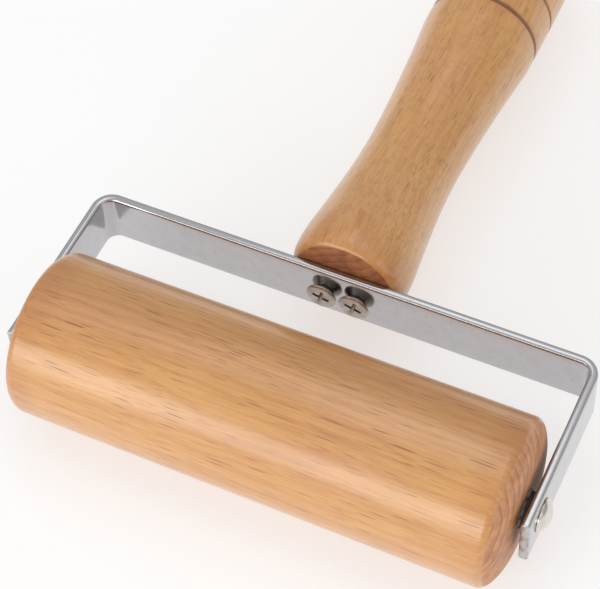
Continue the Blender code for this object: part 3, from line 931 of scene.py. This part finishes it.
def shear_leg_ends(mat):
    """The cut ends of the legs are rougher than the rolled faces, and a little stained."""
    point, normal = mat.object_space()
    x, y, z = mat.split(point)
    facing = mat.split(normal)[1]
    near_end = mat.math("LESS_THAN", y, LEG_END + 0.35)
    cut_end = mat.math("MULTIPLY", near_end, mat.ramp(facing, over=(-0.6, -0.9)))
    stain = mat.noise(mat.join(x, y, z), stretch=(0.9, 0.9, 0.45), detail=4.0, rough=0.65)
    sheared = mat.mix((0.60, 0.58, 0.57), (0.42, 0.37, 0.33),
                      where=mat.ramp(stain, over=(0.42, 0.62)))
    rolled, roughness = [mat.shader.inputs[key].links[0].from_socket
                         for key in ("Base Color", "Roughness")]
    mat.set(Base_Color=mat.mix(rolled, sheared, where=cut_end))
    rougher = mat.new("ShaderNodeMix", data_type="FLOAT")
    mat.put(rougher.inputs[0], cut_end)
    mat.put(rougher.inputs[2], roughness)
    mat.put(rougher.inputs[3], 0.42)
    mat.set(Roughness=rougher.outputs[0])


strip_plate = plated(
    "strip_plate", colour=(0.55, 0.55, 0.57), deep=(0.44, 0.44, 0.46), rough=(0.12, 0.19),
    mottle=0.22, pits=0.5, grain_stretch=(0.12, 0.12, 3.0))
rivet_nickel = plated(
    "rivet_nickel", colour=(0.78, 0.74, 0.68), deep=(0.60, 0.56, 0.50), rough=(0.14, 0.26),
    mottle=0.5, pits=0.25, grain_stretch=(1.0, 1.0, 1.0))
screw_nickel = plated(
    "screw_nickel", colour=(0.50, 0.46, 0.42), deep=(0.30, 0.27, 0.24), rough=(0.22, 0.38),
    mottle=0.7, pits=0.4, grain_stretch=(2.0, 2.0, 2.0))
shear_leg_ends(strip_plate)
assign(strip_plate, "yoke_strip")
assign(rivet_nickel, "rivet_rod")
assign(screw_nickel, "screw_left", "screw_right")


# ------------------------------------------------------------------ washers, near-black as painted shade, and nylon bushes
def washer_shade_black():
    mat = Surface("washer_shade_black")
    point, _ = mat.object_space()
    speckle = mat.noise(point, stretch=(2.2, 2.2, 2.2), detail=4.0, rough=0.65)
    # painted shade: the washers are near-black to stand in for the dark gap between the roller's
    # ends and the legs
    mat.set(Base_Color=mat.mix(srgb(34, 32, 31), srgb(62, 58, 55), where=speckle),
            Roughness=0.62, Normal=mat.bump(speckle, strength=0.25, distance=0.00006))
    return mat


def bush_nylon():
    mat = Surface("bush_nylon")
    point, _ = mat.object_space()
    cloud = mat.noise(point, stretch=(0.8, 0.8, 0.8), detail=3.0, rough=0.6)
    mat.set(Base_Color=mat.mix(srgb(232, 228, 214), srgb(218, 212, 196), where=cloud),
            Roughness=0.48, Subsurface_Weight=0.15,
            Normal=mat.bump(cloud, strength=0.1, distance=0.00005))
    return mat


assign(washer_shade_black(), "washer_left", "washer_right")
assign(bush_nylon(), "bush_left", "bush_right")


# ------------------------------------------------------------------ stage, world and lights
FLOOR_HALF = 6.0
FLOOR_GAP = 0.0002          # below the lowest piece
LIGHT_TARGET = AXIS + Vector((0, 0.03, 0))


def build_floor():
    """Pale matt floor that glows a little, so that it stays even."""
    mesh = bpy.data.meshes.new("stage_floor")
    bm = bmesh.new()
    bmesh.ops.create_grid(bm, x_segments=8, y_segments=8, size=FLOOR_HALF)
    bm.to_mesh(mesh)
    bm.free()
    floor = bpy.data.objects.new("stage_floor", mesh)
    bpy.context.scene.collection.objects.link(floor)
    floor.location = (0, 0, CAD_LO.z - FLOOR_GAP)
    mat = Surface("stage_floor")
    mat.set(Base_Color=(0.50, 0.50, 0.50), Roughness=0.9, Specular_IOR_Level=0.0,
            Emission_Color=(1.0, 1.0, 1.0), Emission_Strength=0.55)
    mesh.materials.append(mat.material)


def build_world():
    """A plain pale room, a little greyer towards the horizon all the way round."""
    world = bpy.data.worlds.new("studio")
    bpy.context.scene.world = world
    world.use_nodes = True
    world.node_tree.nodes.clear()
    graph = Graph(world.node_tree)
    output = graph.new("ShaderNodeOutputWorld")
    coord = graph.new("ShaderNodeTexCoord")
    height = graph.split(graph.vector("NORMALIZE", coord.outputs["Generated"]))[2]
    room = graph.new("ShaderNodeBackground")
    graph.put(room.inputs["Color"], graph.mix((0.55, 0.55, 0.56), (1.0, 1.0, 1.0),
                                              where=graph.ramp(height, over=(0.0, 0.7))))
    graph.put(room.inputs["Strength"], 0.64)
    graph.put(output.inputs[0], room.outputs[0])


def softbox(name, toward, distance, size, watts, colour):
    """Area light placed towards a direction from the target, and facing the target."""
    data = bpy.data.lights.new(name, "AREA")
    data.shape = "RECTANGLE"
    data.size, data.size_y = size
    data.energy = watts
    data.color = colour
    lamp = bpy.data.objects.new(name, data)
    bpy.context.scene.collection.objects.link(lamp)
    direction = Vector(toward).normalized()
    lamp.location = LIGHT_TARGET + direction * distance
    lamp.rotation_euler = direction.to_track_quat("Z", "Y").to_euler()
    lamp.visible_camera = False


build_floor()
build_world()
softbox("key_front_left", toward=(-0.30, -0.93, 0.28), distance=1.0, size=(1.30, 0.45),
        watts=5.2, colour=(1.0, 0.99, 0.97))
softbox("top_fill", toward=(0.05, 0.20, 1.0), distance=1.1, size=(0.9, 0.7),
        watts=1.8, colour=(0.99, 0.995, 1.0))
softbox("right_fill", toward=(0.95, -0.35, 0.35), distance=1.0, size=(0.6, 0.5),
        watts=0.45, colour=(1.0, 1.0, 1.0))

# ------------------------------------------------------------------ camera
CAMERA_PLACE = Vector((0.124088, -0.202735, 0.373570))      # from the roller's axis
# rotation vector (radians) from the world to view axes with Y down and Z forward
CAMERA_TURN = Vector((2.4755860, 0.5316748, -0.2447207))
FLIP_YZ = Matrix(((1, 0, 0), (0, -1, 0), (0, 0, -1)))       # to Y up and Z backward


def build_camera():
    data = bpy.data.cameras.new("camera")
    camera = bpy.data.objects.new("camera", data)
    bpy.context.scene.collection.objects.link(camera)
    data.sensor_fit = "HORIZONTAL"
    data.sensor_width = 36.0
    data.lens = 116.03
    data.clip_start, data.clip_end = 0.02, 30.0
    world_to_view = Matrix.Rotation(CAMERA_TURN.length, 3, CAMERA_TURN.normalized())
    view_to_world = world_to_view.transposed() @ FLIP_YZ
    camera.matrix_world = Matrix.Translation(AXIS + CAMERA_PLACE) @ view_to_world.to_4x4()
    bpy.context.scene.camera = camera


build_camera()
bpy.context.scene.view_settings.view_transform = "Standard"
